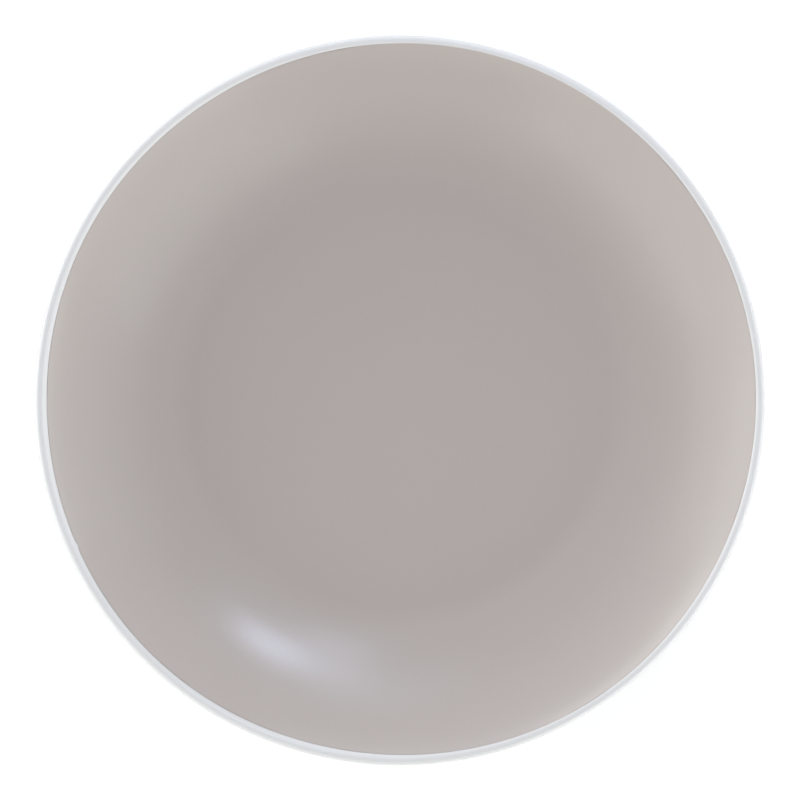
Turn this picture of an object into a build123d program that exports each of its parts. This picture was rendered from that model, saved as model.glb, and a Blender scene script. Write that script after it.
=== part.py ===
from build123d import *
import os
from math import cos, degrees, radians, sin

# Low round serving bowl in two layers of moulding material: a white body with a foot ring and a rounded
# rim, and a taupe liner that covers its inside almost up to the rim.
# Frame: +Z up, origin on the table under the middle of the bowl. Lengths in mm, angles in degrees.

# Driving dimensions
RIM_DIAMETER = 305.0  # outside edge of the rim
WALL_THICKNESS = 4.2  # body and liner together, the same all over
LINER_THICKNESS = 1.3
LINER_STOP = 0.9  # white left on the inside face between the liner's edge and the rounded rim
FLOOR_RADIUS = 88.0  # flat middle of the inside
CORNER_RADIUS = 30.0  # inside curve between floor and wall
CORNER_SLOPE = 18.0  # how steep the inside is where that curve ends
RIM_SLOPE = 42.0  # how steep the wall is where the rim begins
FOOT_HEIGHT = 3.0  # table to the underside of the base
FOOT_RADIUS = 84.0  # outside of the foot ring at the table
FOOT_WIDTH = 3.4  # foot ring across, at the table
FOOT_DRAFT = 18.0  # both flanks of the foot ring lean this far from upright
FOOT_EDGE_ROUND = 0.9  # edges of the foot ring at the table
FOOT_ROOT_ROUND = 1.5  # where the foot ring's flanks meet the base

# Worked out from the driving dimensions
RIM_ROUND = WALL_THICKNESS / 2  # the rim is a full half circle
WALL_END_RADIUS = RIM_DIAMETER / 2 - RIM_ROUND * (1 + sin(radians(RIM_SLOPE)))
CORNER_END_RADIUS = FLOOR_RADIUS + CORNER_RADIUS * sin(radians(CORNER_SLOPE))
WALL_CURVE_RADIUS = (WALL_END_RADIUS - CORNER_END_RADIUS) / (
    sin(radians(RIM_SLOPE)) - sin(radians(CORNER_SLOPE))
)
LINER_END_SLOPE = RIM_SLOPE - degrees(LINER_STOP / WALL_CURVE_RADIUS)
FLOOR_HEIGHT = FOOT_HEIGHT + WALL_THICKNESS
FOOT_FLANK_REACH = FOOT_HEIGHT * sin(radians(FOOT_DRAFT)) / cos(radians(FOOT_DRAFT))


def layer_line(depth, end_slope):
    """Draws one surface's section, at a depth below the inside surface, from the axis up the wall.

    Floor, corner and wall are tangent, and surfaces at different depths are concentric.
    """
    height = FLOOR_HEIGHT - depth
    floor = Line((0, height), (FLOOR_RADIUS, height))
    corner = JernArc(floor @ 1, floor % 1, CORNER_RADIUS + depth, CORNER_SLOPE)
    wall = JernArc(corner @ 1, corner % 1, WALL_CURVE_RADIUS + depth, end_slope - CORNER_SLOPE)
    return floor, wall


# White body: the wall under the liner, the rounded rim and the foot ring
with BuildPart() as white_body:
    with BuildSketch(Plane.XZ) as wall_section:
        with BuildLine():
            seat_floor, seat_wall = layer_line(LINER_THICKNESS, LINER_END_SLOPE)
            under_floor, under_wall = layer_line(WALL_THICKNESS, RIM_SLOPE)
            Line(seat_floor @ 0, under_floor @ 0)
            ledge = PolarLine(seat_wall @ 1, LINER_THICKNESS, LINER_END_SLOPE + 90)
            band = JernArc(ledge @ 1, seat_wall % 1, WALL_CURVE_RADIUS, RIM_SLOPE - LINER_END_SLOPE)
            JernArc(band @ 1, band % 1, RIM_ROUND, -180)
        make_face()
    revolve(axis=Axis.Z)

    with BuildSketch(Plane.XZ) as foot_section:
        with BuildLine():
            root = FOOT_HEIGHT + LINER_THICKNESS  # reaches up into the base
            reach = FOOT_FLANK_REACH * root / FOOT_HEIGHT
            Polyline(
                (FOOT_RADIUS + reach, root),
                (FOOT_RADIUS, 0),
                (FOOT_RADIUS - FOOT_WIDTH, 0),
                (FOOT_RADIUS - FOOT_WIDTH - reach, root),
                close=True,
            )
        make_face()
    revolve(axis=Axis.Z)

    root_edges = (
        white_body.edges()
        .filter_by(GeomType.CIRCLE)
        .filter_by_position(Axis.Z, FOOT_HEIGHT - 0.01, FOOT_HEIGHT + 0.01)
        .filter_by(lambda edge: edge.radius < FLOOR_RADIUS - 0.01)
    )
    fillet(root_edges, FOOT_ROOT_ROUND)
    fillet(white_body.edges().group_by(Axis.Z)[0], FOOT_EDGE_ROUND)

white_body.part.label = "white_body"


# Taupe liner: an even layer over the floor and wall, ending square against the ledge below the rim
with BuildPart() as taupe_liner:
    with BuildSketch(Plane.XZ) as liner_section:
        with BuildLine():
            face_floor, face_wall = layer_line(0, LINER_END_SLOPE)
            back_floor, back_wall = layer_line(LINER_THICKNESS, LINER_END_SLOPE)
            Line(face_floor @ 0, back_floor @ 0)
            Line(face_wall @ 1, back_wall @ 1)
        make_face()
    revolve(axis=Axis.Z)

taupe_liner.part.label = "taupe_liner"


os.makedirs("parts", exist_ok=True)
export_step(white_body.part, "parts/white_body.step")
export_step(taupe_liner.part, "parts/taupe_liner.step")

overall = white_body.part.bounding_box().size
print(f"overall {overall.X:.2f} x {overall.Y:.2f} x {overall.Z:.2f} mm")
print(f"wall curve radius {WALL_CURVE_RADIUS:.1f} mm")
print(f"inside depth {white_body.part.bounding_box().max.Z - FLOOR_HEIGHT:.1f} mm")
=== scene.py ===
import math

import bpy
from mathutils import Matrix, Vector


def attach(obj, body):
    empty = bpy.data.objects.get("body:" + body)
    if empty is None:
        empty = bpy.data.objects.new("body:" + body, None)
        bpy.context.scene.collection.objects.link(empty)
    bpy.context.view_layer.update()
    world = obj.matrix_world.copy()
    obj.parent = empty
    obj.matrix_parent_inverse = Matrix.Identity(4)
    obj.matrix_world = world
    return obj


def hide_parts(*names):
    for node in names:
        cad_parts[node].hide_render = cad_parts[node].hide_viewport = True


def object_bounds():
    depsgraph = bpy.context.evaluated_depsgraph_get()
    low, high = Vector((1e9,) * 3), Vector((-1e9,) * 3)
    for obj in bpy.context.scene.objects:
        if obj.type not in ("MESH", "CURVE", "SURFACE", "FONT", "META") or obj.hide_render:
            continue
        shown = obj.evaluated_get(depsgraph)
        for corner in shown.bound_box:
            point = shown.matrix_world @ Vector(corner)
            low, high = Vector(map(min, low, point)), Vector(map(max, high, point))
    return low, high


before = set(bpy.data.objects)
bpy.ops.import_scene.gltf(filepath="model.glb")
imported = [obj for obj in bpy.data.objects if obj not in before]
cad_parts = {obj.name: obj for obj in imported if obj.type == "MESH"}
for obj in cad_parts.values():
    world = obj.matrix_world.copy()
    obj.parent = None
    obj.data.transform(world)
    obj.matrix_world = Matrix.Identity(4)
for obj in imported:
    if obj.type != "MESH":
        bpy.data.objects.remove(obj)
cad_low, cad_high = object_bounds()

# Sizes in metres, angles in degrees. The rim's outside and height come from the CAD frame.
RIM_RADIUS = cad_high.x
WALL = 0.0042
LINER = 0.0013
LINER_STOP = 0.0009  # white left on the inside face below the rounded rim
FLOOR_RADIUS = 0.088
CORNER_RADIUS = 0.030
CORNER_SLOPE = 18.0
RIM_SLOPE = 42.0
FOOT_HEIGHT = 0.003
FOOT_RADIUS = 0.084
FOOT_WIDTH = 0.0034
FOOT_DRAFT = 18.0
FOOT_EDGE_ROUND = 0.0009
FOOT_ROOT_ROUND = 0.0015

RIM_ROUND = WALL / 2
FLOOR_HEIGHT = FOOT_HEIGHT + WALL
WALL_END_RADIUS = RIM_RADIUS - RIM_ROUND * (1 + math.sin(math.radians(RIM_SLOPE)))
CORNER_END_RADIUS = FLOOR_RADIUS + CORNER_RADIUS * math.sin(math.radians(CORNER_SLOPE))
WALL_CURVE_RADIUS = (WALL_END_RADIUS - CORNER_END_RADIUS) / (
    math.sin(math.radians(RIM_SLOPE)) - math.sin(math.radians(CORNER_SLOPE))
)

SEGMENTS = 720  # vertices round every ring
CREASE_ANGLE = 40.0  # shading is smooth across edges flatter than this
BOND_GAP = 0.00002  # between the two layers, so that their faces never share a plane
SEAM_DEPTH = 0.00006  # fine groove along the colour line
SEAM_WIDTH = 0.00012

EDGE_ZONE = 0.006  # inside face below the rim's round where the rings are set one by one
CHIP_AZIMUTH = 204.0  # small nick in the liner's edge, filled by white
CHIP_DEPTH = 0.0004
CHIP_WIDTH = 0.0013  # from its middle to either side
# The colour line wanders, and takes the surface beside it along. Its whole stray holds as far as the
# first distance and has faded out at the second.
WANDER_FADE = (0.003, 0.011)  # down the inside face
WANDER_FADE_RIM = (0.0014, 0.0042)  # up over the rim's round


# ---------------------------------------------------------------- sections


def arc_points(centre, radius, start, end, steps):
    """Points on an arc in the section plane, between two surface slopes. 0 is its lowest point."""
    points = []
    for step in range(steps + 1):
        slope = math.radians(start + (end - start) * step / steps)
        points.append((centre[0] + radius * math.sin(slope), centre[1] - radius * math.cos(slope)))
    return points


def corner_centre():
    return FLOOR_RADIUS, FLOOR_HEIGHT + CORNER_RADIUS


def wall_centre():
    """The wall arc runs on from the corner arc, so both centres lie on one line to where they meet."""
    slope = math.radians(CORNER_SLOPE)
    centre = corner_centre()
    extra = WALL_CURVE_RADIUS - CORNER_RADIUS
    return centre[0] - extra * math.sin(slope), centre[1] + extra * math.cos(slope)


def rim_centre():
    slope = math.radians(RIM_SLOPE)
    reach = WALL_CURVE_RADIUS + RIM_ROUND
    centre = wall_centre()
    return centre[0] + reach * math.sin(slope), centre[1] - reach * math.cos(slope)


def wall_slope(down):
    """The wall's slope at a distance down the inside face from where the rim's round begins."""
    return RIM_SLOPE - math.degrees(down / WALL_CURVE_RADIUS)


def face_point(down, depth=0.0):
    """A point down the inside face from the start of the rim's round, at a depth below that face.

    A distance less than zero runs up over the round.
    """
    if down >= 0:
        return arc_points(wall_centre(), WALL_CURVE_RADIUS + depth, wall_slope(down), 0, 1)[0]
    turned = RIM_SLOPE + 180 + math.degrees(down / RIM_ROUND)
    return arc_points(rim_centre(), RIM_ROUND - depth, turned, 0, 1)[0]


def bowl_line(depth, floor_rings, corner_steps, wall_steps, end_slope=RIM_SLOPE):
    """A surface at a depth below the inside face, from near the axis out to a slope of the wall."""
    height = FLOOR_HEIGHT - depth
    floor = [(radius, height) for radius in floor_rings]
    corner = arc_points(corner_centre(), CORNER_RADIUS + depth, 0, CORNER_SLOPE, corner_steps)
    wall = arc_points(wall_centre(), WALL_CURVE_RADIUS + depth, CORNER_SLOPE, end_slope, wall_steps)
    return floor + corner + wall[1:]


def rounded(before, corner, after, radius, steps):
    """Replaces a corner of a section by an arc tangent to both of its sides."""
    a, b = Vector(before) - Vector(corner), Vector(after) - Vector(corner)
    half = a.angle(b) / 2
    a.normalize()
    b.normalize()
    middle = Vector(corner) + (a + b).normalized() * (radius / math.sin(half))
    start = Vector(corner) + a * (radius / math.tan(half)) - middle
    sweep = math.pi - 2 * half
    if a.cross(b) < 0:
        sweep = -sweep
    points = []
    for step in range(steps + 1):
        turn = Matrix.Rotation(-sweep * step / steps, 2)
        points.append(tuple(middle + turn @ start))
    return points


# ---------------------------------------------------------------- modelling


def select_nothing():
    if bpy.context.mode != "OBJECT":
        bpy.ops.object.mode_set(mode="OBJECT")
    bpy.ops.object.select_all(action="DESELECT")


def lathe(name, rings):
    """A closed round shape: each ring is extruded from the one before, lifted and scaled."""
    select_nothing()
    radius, height = rings[0]
    bpy.ops.mesh.primitive_circle_add(
        vertices=SEGMENTS, radius=radius, fill_type="TRIFAN", location=(0, 0, height)
    )
    piece = bpy.context.object
    piece.name = name
    piece.data.name = name
    bpy.ops.object.transform_apply(location=True, rotation=True, scale=True)
    bpy.ops.object.mode_set(mode="EDIT")
    bpy.ops.mesh.select_mode(type="EDGE")
    bpy.ops.mesh.region_to_loop()
    for next_radius, next_height in rings[1:]:
        bpy.ops.mesh.extrude_region_move(
            TRANSFORM_OT_translate={"value": (0, 0, next_height - height)}
        )
        scale = next_radius / radius
        bpy.ops.transform.resize(value=(scale, scale, 1), center_override=(0, 0, next_height))
        radius, height = next_radius, next_height
    bpy.ops.mesh.merge(type="CENTER")
    bpy.ops.mesh.select_all(action="SELECT")
    bpy.ops.mesh.normals_make_consistent(inside=False)
    bpy.ops.object.mode_set(mode="OBJECT")
    bpy.ops.object.shade_smooth_by_angle(angle=math.radians(CREASE_ANGLE))
    return piece


def line_wander(azimuth):
    """How far outwards the colour line strays from its circle.

    Pressing never centres the liner exactly, nor fills its edge evenly.
    """
    strays = 0.00068 * math.cos(azimuth - math.radians(28))
    strays += 0.00030 * math.cos(2 * (azimuth - math.radians(83)))
    strays += 0.00013 * math.cos(3 * (azimuth + math.radians(39)))
    strays += 0.00010 * math.cos(4 * (azimuth + math.radians(45)))
    strays += 0.00018 * math.cos(5 * (azimuth - math.radians(9)))
    along = (azimuth - math.radians(CHIP_AZIMUTH)) * WALL_END_RADIUS
    return strays - CHIP_DEPTH * math.exp(-((along / CHIP_WIDTH) ** 2))


def line_slide(azimuth):
    """The colour line's stray as a distance down the inside face."""
    radius = face_point(LINER_STOP)[0] + line_wander(azimuth)
    if radius <= WALL_END_RADIUS:
        slope = math.degrees(math.asin((radius - wall_centre()[0]) / WALL_CURVE_RADIUS))
        down = math.radians(RIM_SLOPE - slope) * WALL_CURVE_RADIUS
    else:
        past = math.asin((rim_centre()[0] - radius) / RIM_ROUND)
        down = -(math.radians(RIM_SLOPE) - past) * RIM_ROUND
    return down - LINER_STOP


def smooth_step(value):
    value = min(max(value, 0.0), 1.0)
    return value * value * (3 - 2 * value)


def line_share(down):
    """How much of the colour line's stray a point takes, by its distance down the inside face."""
    full, gone = WANDER_FADE
    full_rim, gone_rim = WANDER_FADE_RIM
    below = smooth_step((gone - down) / (gone - full))
    above = smooth_step((down + gone_rim) / (gone_rim - full_rim))
    return below * above


def slide_colour_line(piece):
    """Slides the vertices near the colour line along the inside face, so that the line wanders."""
    wall_middle, rim_middle = wall_centre(), rim_centre()
    for vertex in piece.data.vertices:
        x, y, z = vertex.co
        radius = math.hypot(x, y)
        if radius < WALL_END_RADIUS - WANDER_FADE[1] - 0.001:
            continue
        out, drop = radius - wall_middle[0], wall_middle[1] - z
        depth = math.hypot(out, drop) - WALL_CURVE_RADIUS
        down = math.radians(RIM_SLOPE - math.degrees(math.atan2(out, drop))) * WALL_CURVE_RADIUS
        if down < -1e-6:  # on the rim's round, measured round its own middle
            out, drop = radius - rim_middle[0], rim_middle[1] - z
            turned = math.degrees(math.atan2(out, drop)) % 360
            if turned > RIM_SLOPE + 181 or turned < RIM_SLOPE + 60:
                continue
            down = math.radians(turned - RIM_SLOPE - 180) * RIM_ROUND
            depth = 0.0
        elif depth > LINER + 0.0001:  # deeper than the liner's back: the outside of the body
            continue
        share = line_share(down)
        if share == 0:
            continue
        azimuth = math.atan2(y, x) % math.tau
        new_radius, new_z = face_point(down + line_slide(azimuth) * share, depth)
        vertex.co = (new_radius * math.cos(azimuth), new_radius * math.sin(azimuth), new_z)
    piece.data.update()


FLOOR_RINGS = [FLOOR_RADIUS * share for share in (0.02, 0.12, 0.3, 0.5, 0.7, 0.87, 0.96)]


def make_liner():
    edge_slope = wall_slope(EDGE_ZONE)
    face = bowl_line(0, FLOOR_RINGS, 9, 24, edge_slope)
    face += [face_point(down) for down in (0.004, 0.0025, 0.0015, 0.001, 0.0007)]
    face += [
        face_point(LINER_STOP + SEAM_WIDTH),
        face_point(LINER_STOP + SEAM_WIDTH * 0.4, SEAM_DEPTH * 0.2),
        face_point(LINER_STOP + BOND_GAP, SEAM_DEPTH),
    ]
    back_depth = LINER - BOND_GAP
    back = bowl_line(back_depth, FLOOR_RINGS[::2], 5, 10, edge_slope)
    back += [face_point(down, back_depth) for down in (0.003, 0.0012, LINER_STOP + BOND_GAP)]
    liner = lathe("bowl_liner", face + back[::-1])
    slide_colour_line(liner)
    return liner


def make_body():
    edge_slope = wall_slope(EDGE_ZONE)
    seat = bowl_line(LINER, FLOOR_RINGS[::2], 5, 10, edge_slope)
    seat += [face_point(down, LINER) for down in (0.003, 0.0012, LINER_STOP)]
    band = [
        face_point(LINER_STOP, SEAM_DEPTH),
        face_point(LINER_STOP - SEAM_WIDTH * 0.6, SEAM_DEPTH * 0.2),
        face_point(LINER_STOP - SEAM_WIDTH),
    ]
    rim = arc_points(rim_centre(), RIM_ROUND, RIM_SLOPE + 180, RIM_SLOPE, 28)
    outside = bowl_line(WALL, [FLOOR_RADIUS * share for share in (0.02, 0.3, 0.6, 0.8)], 8, 24)
    lean = FOOT_HEIGHT * math.tan(math.radians(FOOT_DRAFT))
    inner = FOOT_RADIUS - FOOT_WIDTH
    wall_part = [point for point in outside if point[0] >= FLOOR_RADIUS - 1e-6][::-1]
    base_part = [point for point in outside if point[0] < inner - 2 * lean][::-1]
    foot_line = [
        (FOOT_RADIUS + lean, FOOT_HEIGHT),
        (FOOT_RADIUS, 0),
        (inner, 0),
        (inner - lean, FOOT_HEIGHT),
    ]
    foot = rounded(wall_part[-1], foot_line[0], foot_line[1], FOOT_ROOT_ROUND, 5)
    foot += rounded(foot_line[0], foot_line[1], foot_line[2], FOOT_EDGE_ROUND, 5)
    foot += rounded(foot_line[1], foot_line[2], foot_line[3], FOOT_EDGE_ROUND, 5)
    foot += rounded(foot_line[2], foot_line[3], base_part[0], FOOT_ROOT_ROUND, 5)
    body = lathe("bowl_body", seat + band + rim + wall_part[1:] + foot + base_part)
    slide_colour_line(body)
    return body


# ---------------------------------------------------------------- materials


def add_sockets(group, inputs, outputs):
    for name, kind, default in inputs:
        socket = group.interface.new_socket(name=name, in_out="INPUT", socket_type=kind)
        socket.default_value = default
    for name, kind in outputs:
        group.interface.new_socket(name=name, in_out="OUTPUT", socket_type=kind)


def noise(nodes, links, place, scale, detail=2.0, roughness=0.5):
    texture = nodes.new("ShaderNodeTexNoise")
    texture.inputs["Scale"].default_value = scale
    texture.inputs["Detail"].default_value = detail
    texture.inputs["Roughness"].default_value = roughness
    links.new(place, texture.inputs["Vector"])
    return texture.outputs["Fac"]


def calculate(nodes, links, operation, first, second, third=None):
    """A Math node on sockets or plain numbers."""
    node = nodes.new("ShaderNodeMath")
    node.operation = operation
    for index, value in enumerate((first, second, third)):
        if value is None:
            continue
        if isinstance(value, (int, float)):
            node.inputs[index].default_value = value
        else:
            links.new(value, node.inputs[index])
    return node.outputs[0]


def remap(nodes, links, value, from_low, from_high, to_low, to_high):
    """A Map Range node; the new range's ends are sockets or plain numbers."""
    node = nodes.new("ShaderNodeMapRange")
    node.inputs["From Min"].default_value = from_low
    node.inputs["From Max"].default_value = from_high
    for name, end in (("To Min", to_low), ("To Max", to_high)):
        if isinstance(end, (int, float)):
            node.inputs[name].default_value = end
        else:
            links.new(end, node.inputs[name])
    links.new(value, node.inputs["Value"])
    return node.outputs["Result"]


def swing(nodes, links, texture, reach):
    """A noise's values, which lie round a half, spread round zero."""
    middle = calculate(nodes, links, "SUBTRACT", texture, 0.5)
    return calculate(nodes, links, "MULTIPLY", middle, reach)


def scale_color(nodes, links, color, shade, target):
    """Multiplies a colour by a shade and feeds a socket with it."""
    tint = nodes.new("ShaderNodeVectorMath")
    tint.operation = "SCALE"
    links.new(color, tint.inputs[0])
    links.new(shade, tint.inputs["Scale"])
    links.new(tint.outputs["Vector"], target)


def moulded_skin_group():
    """Pressed melamine: powder grain in the colour, faint clouding, and the mould's soft ripple."""
    group = bpy.data.node_groups.new("moulded_skin", "ShaderNodeTree")
    add_sockets(
        group,
        [
            ("Color", "NodeSocketColor", (0.5, 0.5, 0.5, 1)),
            ("Grain", "NodeSocketFloat", 0.02),
            ("Clouding", "NodeSocketFloat", 0.01),
            ("Roughness", "NodeSocketFloat", 0.2),
            ("Polish Drift", "NodeSocketFloat", 0.03),
            ("Ripple", "NodeSocketFloat", 0.5),
        ],
        [
            ("Color", "NodeSocketColor"),
            ("Roughness", "NodeSocketFloat"),
            ("Height", "NodeSocketFloat"),
        ],
    )
    nodes, links = group.nodes, group.links
    entry, leave = nodes.new("NodeGroupInput"), nodes.new("NodeGroupOutput")
    place = nodes.new("ShaderNodeTexCoord").outputs["Object"]

    fine = calculate(nodes, links, "MULTIPLY", noise(nodes, links, place, 2600, 1.0), 0.6)
    coarse = calculate(nodes, links, "MULTIPLY", noise(nodes, links, place, 900), 0.4)
    grain = swing(nodes, links, calculate(nodes, links, "ADD", fine, coarse), 4.0)
    cloud = swing(nodes, links, noise(nodes, links, place, 22, 3.0, 0.55), 4.0)
    shade = calculate(nodes, links, "MULTIPLY_ADD", grain, entry.outputs["Grain"], 1.0)
    shade = calculate(nodes, links, "MULTIPLY_ADD", cloud, entry.outputs["Clouding"], shade)
    scale_color(nodes, links, entry.outputs["Color"], shade, leave.inputs["Color"])

    drift = swing(nodes, links, noise(nodes, links, place, 45, 3.0, 0.6), 2.0)
    drift_reach, rough = entry.outputs["Polish Drift"], entry.outputs["Roughness"]
    polish = calculate(nodes, links, "MULTIPLY_ADD", drift, drift_reach, rough)
    links.new(polish, leave.inputs["Roughness"])

    ripple = noise(nodes, links, place, 60)
    orange_peel = noise(nodes, links, place, 420)
    height = calculate(nodes, links, "MULTIPLY_ADD", orange_peel, 0.08, ripple)
    height = calculate(nodes, links, "MULTIPLY", height, entry.outputs["Ripple"])
    links.new(height, leave.inputs["Height"])
    return group


def rest_wear_group():
    """The matt, scuffed track that a foot ring gets where it slides on the table."""
    group = bpy.data.node_groups.new("rest_wear", "ShaderNodeTree")
    add_sockets(
        group,
        [
            ("Color", "NodeSocketColor", (0.8, 0.8, 0.8, 1)),
            ("Roughness", "NodeSocketFloat", 0.2),
            ("Height Above Table", "NodeSocketFloat", 0.0004),
        ],
        [("Color", "NodeSocketColor"), ("Roughness", "NodeSocketFloat")],
    )
    nodes, links = group.nodes, group.links
    entry, leave = nodes.new("NodeGroupInput"), nodes.new("NodeGroupOutput")
    place = nodes.new("ShaderNodeTexCoord").outputs["Object"]
    split = nodes.new("ShaderNodeSeparateXYZ")
    links.new(place, split.inputs[0])
    ragged = noise(nodes, links, place, 500, 3.0, 0.6)
    ragged = calculate(nodes, links, "MULTIPLY_ADD", ragged, 0.0006, -0.0003)
    level = calculate(nodes, links, "ADD", split.outputs["Z"], ragged)
    level = calculate(nodes, links, "DIVIDE", level, entry.outputs["Height Above Table"])
    worn = remap(nodes, links, level, 0.6, 1.6, 1.0, 0.0)
    worn = calculate(nodes, links, "MAXIMUM", worn, 0.0)
    worn = calculate(nodes, links, "MINIMUM", worn, 1.0)
    scratches = noise(nodes, links, place, 1500, 2.0, 0.6)
    scratches = remap(nodes, links, scratches, 0.4, 0.6, 0.0, 1.0)
    grime = calculate(nodes, links, "MULTIPLY_ADD", scratches, 0.1, 0.06)
    dirt = calculate(nodes, links, "MULTIPLY", worn, grime)
    shade = calculate(nodes, links, "SUBTRACT", 1.0, dirt)
    scale_color(nodes, links, entry.outputs["Color"], shade, leave.inputs["Color"])
    matt = calculate(nodes, links, "SUBTRACT", 0.55, entry.outputs["Roughness"])
    rough = calculate(nodes, links, "MULTIPLY_ADD", worn, matt, entry.outputs["Roughness"])
    links.new(rough, leave.inputs["Roughness"])
    return group


def new_material(name):
    material = bpy.data.materials.new(name)
    material.use_nodes = True
    nodes = material.node_tree.nodes
    return material, nodes, material.node_tree.links, nodes["Principled BSDF"]


def add_skin(nodes, skin, color, values):
    """Places the moulded skin in a material with that material's own values."""
    node = nodes.new("ShaderNodeGroup")
    node.node_tree = skin
    node.inputs["Color"].default_value = color
    for name, value in values.items():
        node.inputs[name].default_value = value
    return node


def add_bump(nodes, links, height, distance, shader):
    """Turns a height of 0 to 1 into relief this deep, in metres."""
    bump = nodes.new("ShaderNodeBump")
    bump.inputs["Strength"].default_value = 1.0
    bump.inputs["Distance"].default_value = distance
    links.new(height, bump.inputs["Height"])
    links.new(bump.outputs["Normal"], shader.inputs["Normal"])


def taupe_material(skin):
    """Satin taupe of the liner."""
    material, nodes, links, shader = new_material("taupe_satin")
    node = add_skin(
        nodes,
        skin,
        (0.431, 0.382, 0.362, 1),
        {"Grain": 0.018, "Clouding": 0.006, "Roughness": 0.2, "Polish Drift": 0.02, "Ripple": 1.0},
    )
    links.new(node.outputs["Color"], shader.inputs["Base Color"])
    links.new(node.outputs["Roughness"], shader.inputs["Roughness"])
    add_bump(nodes, links, node.outputs["Height"], 0.000015, shader)
    return material


def white_material(skin, wear):
    """Glossy white of the rim, outside and foot, worn matt under the foot."""
    material, nodes, links, shader = new_material("white_gloss")
    node = add_skin(
        nodes,
        skin,
        (0.650, 0.643, 0.648, 1),
        {"Grain": 0.006, "Clouding": 0.004, "Roughness": 0.24, "Polish Drift": 0.03, "Ripple": 1.0},
    )
    worn = nodes.new("ShaderNodeGroup")
    worn.node_tree = wear
    links.new(node.outputs["Color"], worn.inputs["Color"])
    links.new(node.outputs["Roughness"], worn.inputs["Roughness"])
    links.new(worn.outputs["Color"], shader.inputs["Base Color"])
    links.new(worn.outputs["Roughness"], shader.inputs["Roughness"])
    add_bump(nodes, links, node.outputs["Height"], 0.00001, shader)
    return material


def dress(piece, material, node):
    """Gives a finished piece its material and puts it in the place of its CAD node."""
    piece.data.materials.clear()
    piece.data.materials.append(material)
    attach(piece, "root")
    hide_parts(node)


moulded_skin = moulded_skin_group()
dress(make_liner(), taupe_material(moulded_skin), "taupe_liner")
dress(make_body(), white_material(moulded_skin, rest_wear_group()), "white_body")


# ---------------------------------------------------------------- stage


def make_floor():
    """A pale sweep, bright enough to come out white."""
    select_nothing()
    bpy.ops.mesh.primitive_plane_add(size=8)
    floor = bpy.context.object
    floor.name = "floor"
    material, nodes, links, shader = new_material("pale_floor")
    shader.inputs["Base Color"].default_value = (0.9, 0.9, 0.9, 1)
    shader.inputs["Roughness"].default_value = 0.9
    shader.inputs["Specular IOR Level"].default_value = 0.1
    shader.inputs["Emission Color"].default_value = (1, 1, 1, 1)
    seen = nodes.new("ShaderNodeLightPath").outputs["Is Camera Ray"]
    glow = calculate(nodes, links, "MULTIPLY", seen, 0.18)
    links.new(glow, shader.inputs["Emission Strength"])
    floor.data.materials.append(material)


def from_middle(azimuth, elevation, distance):
    a, e = math.radians(azimuth), math.radians(elevation)
    return distance * Vector((math.cos(a) * math.cos(e), math.sin(a) * math.cos(e), math.sin(e)))


def make_camera():
    """Looks almost straight down, from a little towards +Y, with +Y up in the picture."""
    lean, distance, sensor = math.radians(2.5), 1.8, 36
    bowl_share = 0.914  # of the picture's width
    back = Vector((0, math.sin(lean), math.cos(lean)))
    right = Vector((1, 0, 0))
    up = back.cross(right)
    target = Vector((0, 0, cad_high.z)) + right * 0.00017 + up * 0.00081
    camera_data = bpy.data.cameras.new("camera")
    camera = bpy.data.objects.new("camera", camera_data)
    bpy.context.scene.collection.objects.link(camera)
    camera.location = target + back * distance
    camera.rotation_euler = Matrix((right, up, back)).transposed().to_euler()
    camera_data.sensor_width = sensor
    camera_data.lens = sensor * distance / (RIM_RADIUS * 2 / bowl_share)
    bpy.context.scene.camera = camera


COOL = (0.86, 1.04, 1.38)  # the bluish key lights
PALE = (0.975, 1.01, 0.985)  # all the others


def add_softbox(name, azimuth, elevation, width, height, brightness, color=PALE, distance=1.6):
    """A rectangular area light turned to the bowl.

    Its width and height are in degrees of azimuth and elevation, as the bowl sees them.
    """
    across = 2 * distance * math.tan(math.radians(width / 2))
    light_data = bpy.data.lights.new(name, "AREA")
    light_data.shape = "RECTANGLE"
    light_data.size = across * math.cos(math.radians(elevation))
    light_data.size_y = 2 * distance * math.tan(math.radians(height / 2))
    light_data.energy = 4 * brightness * light_data.size * light_data.size_y
    light_data.color = color
    light = bpy.data.objects.new(name, light_data)
    bpy.context.scene.collection.objects.link(light)
    place = from_middle(azimuth, elevation, distance)
    light.location = place
    light.rotation_euler = (-place).to_track_quat("-Z", "Y").to_euler()


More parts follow.
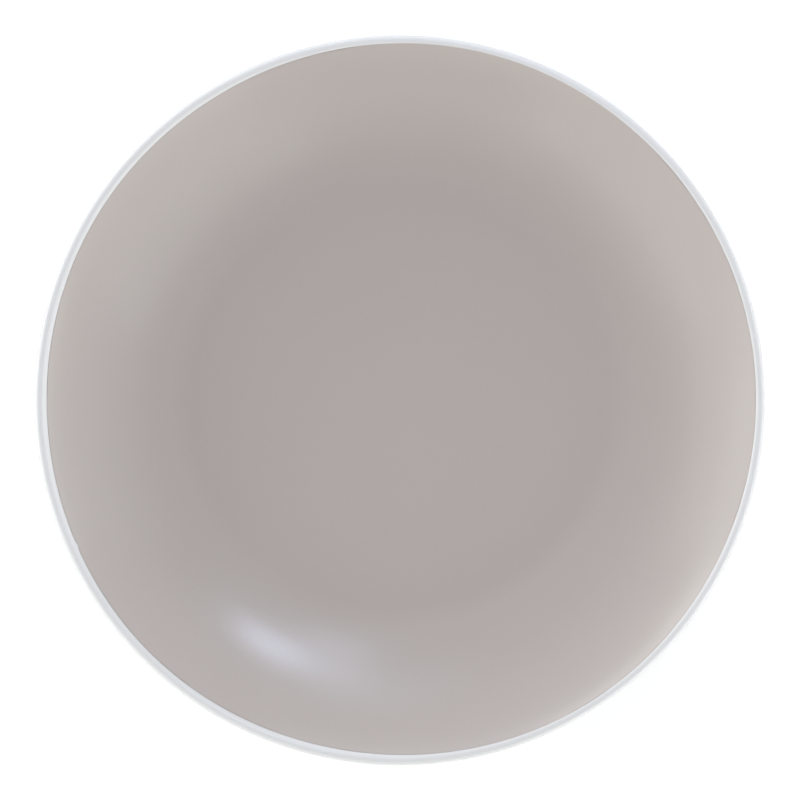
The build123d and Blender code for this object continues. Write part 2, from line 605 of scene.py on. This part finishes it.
def make_world(wall_light, ceiling_light):
    """Even fill from a room with pale walls and a dimmer ceiling, with a white surround."""
    world = bpy.data.worlds.new("world")
    world.use_nodes = True
    nodes, links = world.node_tree.nodes, world.node_tree.links
    background = nodes["Background"]
    background.inputs["Color"].default_value = (1, 1, 1, 1)
    direction = nodes.new("ShaderNodeTexCoord").outputs["Generated"]
    split = nodes.new("ShaderNodeSeparateXYZ")
    links.new(direction, split.inputs[0])
    fill = remap(nodes, links, split.outputs["Z"], 0.52, 0.7, wall_light, ceiling_light)
    seen = nodes.new("ShaderNodeLightPath").outputs["Is Camera Ray"]
    surround = calculate(nodes, links, "MULTIPLY_ADD", seen, 1.2, fill)
    links.new(surround, background.inputs["Strength"])
    bpy.context.scene.world = world


make_floor()
make_camera()
add_softbox("key", 60, 46, 15, 8, 6.0, COOL)
add_softbox("key_side", 75, 50, 15, 16, 1.9, COOL)
add_softbox("key_under", 67, 42, 12, 6, 1.0, COOL)
add_softbox("key_low", 82, 40, 20, 12, 0.7, COOL)
add_softbox("key_end", 97, 44, 15, 12, 0.4, COOL)
add_softbox("left_strip", 190, 4, 60, 8, 4.8)
add_softbox("left_panel", 180, 19, 45, 38, 0.7)
add_softbox("left_band", 165, 20, 50, 8, 0.8)
add_softbox("back_left_strip", 135, 13, 45, 8, 4.2)
add_softbox("back_right_strip", 0, 10, 45, 12, 1.6)
add_softbox("back_strip", 90, 10, 45, 12, 2.5, (0.94, 1.0, 1.06))
add_softbox("right_strip", 315, 4, 45, 8, 4.8)
add_softbox("right_end_strip", 350, 4, 30, 8, 2.0)
add_softbox("right_panel", 315, 29, 45, 42, 0.4)
add_softbox("back_right_panel", 0, 29, 45, 42, 0.3)
add_softbox("front_left_panel", 225, 27, 45, 22, 0.6)
add_softbox("front_left_strip", 240, 6, 40, 12, 0.5)
for number, azimuth in enumerate((225, 270, 315)):
    add_softbox(f"front_panel_{number}", azimuth, 38, 45, 24, 0.35)
make_world(0.9, 0.5)
bpy.context.scene.view_settings.view_transform = "Standard"
bpy.context.scene.view_settings.exposure = 0.035
